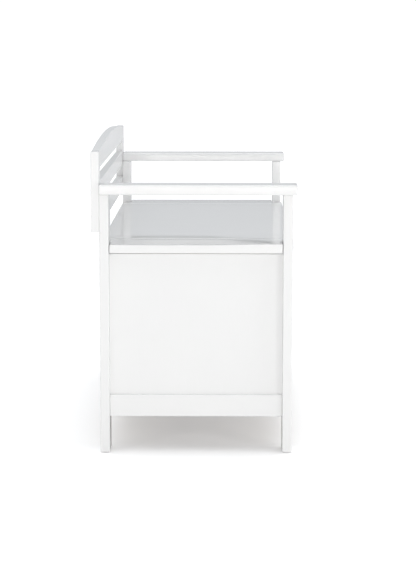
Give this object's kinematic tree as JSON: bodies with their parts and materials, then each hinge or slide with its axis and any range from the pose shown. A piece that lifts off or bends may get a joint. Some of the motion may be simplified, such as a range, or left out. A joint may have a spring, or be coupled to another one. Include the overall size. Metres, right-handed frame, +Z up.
{
  "type": "entryway bench",
  "caption": "Painted wooden entryway storage bench with arms, a slatted back with an arched top rail, and a hinged lift-up seat lid over a panelled box.",
  "frame": {"origin": "on the floor, under the middle of the bench's overall box", "axes": "+X along the seat, +Y towards the back rest, +Z up; the front of the bench faces -Y"},
  "size_m": [1.067, 0.455, 0.691],
  "materials": {
    "white_lacquer": "satin to semi-gloss white lacquer over wood",
    "raw_wood": "bare planed wood",
    "hinge_steel": "zinc plated steel",
    "glide_plastic": "moulded furniture glide",
    "bumper_rubber": "soft clear bumper"
  },
  "bodies": {
    "bench": {"arm_dowels": "raw_wood", "arm_left": "white_lacquer", "arm_right": "white_lacquer", "back_bottom_rail": "white_lacquer", "back_frame_bolts": "hinge_steel", "back_middle_rail": "white_lacquer", "back_stile_left": "white_lacquer", "back_stile_right": "white_lacquer", "back_top_rail": "white_lacquer", "box_back_bottom_rail": "white_lacquer", "box_back_panel": "white_lacquer", "box_back_top_rail": "white_lacquer", "box_floor": "raw_wood", "end_board_screws": "hinge_steel", "floor_cleat_front": "raw_wood", "floor_cleat_rear": "raw_wood", "foot_glide_front_left": "glide_plastic", "foot_glide_front_right": "glide_plastic", "foot_glide_rear_left": "glide_plastic", "foot_glide_rear_right": "glide_plastic", "front_bottom_rail": "white_lacquer", "front_centre_stile": "white_lacquer", "front_panel_left": "white_lacquer", "front_panel_right": "white_lacquer", "front_top_rail": "white_lacquer", "hinge_fixed_leaf_left": "hinge_steel", "hinge_fixed_leaf_middle": "hinge_steel", "hinge_fixed_leaf_right": "hinge_steel", "hinge_fixed_screws": "hinge_steel", "hinge_pin_left": "hinge_steel", "hinge_pin_middle": "hinge_steel", "hinge_pin_right": "hinge_steel", "leg_front_left": "white_lacquer", "leg_front_right": "white_lacquer", "leg_rear_left": "white_lacquer", "leg_rear_right": "white_lacquer", "lid_bumpers": "bumper_rubber", "rail_dowels": "raw_wood", "seat_end_left": "white_lacquer", "seat_end_right": "white_lacquer", "side_bottom_rail_left": "white_lacquer", "side_bottom_rail_right": "white_lacquer", "side_panel_left": "white_lacquer", "side_panel_right": "white_lacquer", "side_top_cleat_left": "raw_wood", "side_top_cleat_right": "raw_wood"},
    "lid": {"batten_screws": "hinge_steel", "hinge_lid_leaf_left": "hinge_steel", "hinge_lid_leaf_middle": "hinge_steel", "hinge_lid_leaf_right": "hinge_steel", "hinge_lid_screws": "hinge_steel", "lid_batten_left": "white_lacquer", "lid_batten_right": "white_lacquer", "seat_lid": "white_lacquer"}
  },
  "joints": [
    {"name": "lid_hinge", "type": "hinge", "parent": "bench", "child": "lid", "pos_m": [0, 0.21205, 0.453], "axis": [-1, 0, 0], "range_deg": [0, 66]}
  ]
}
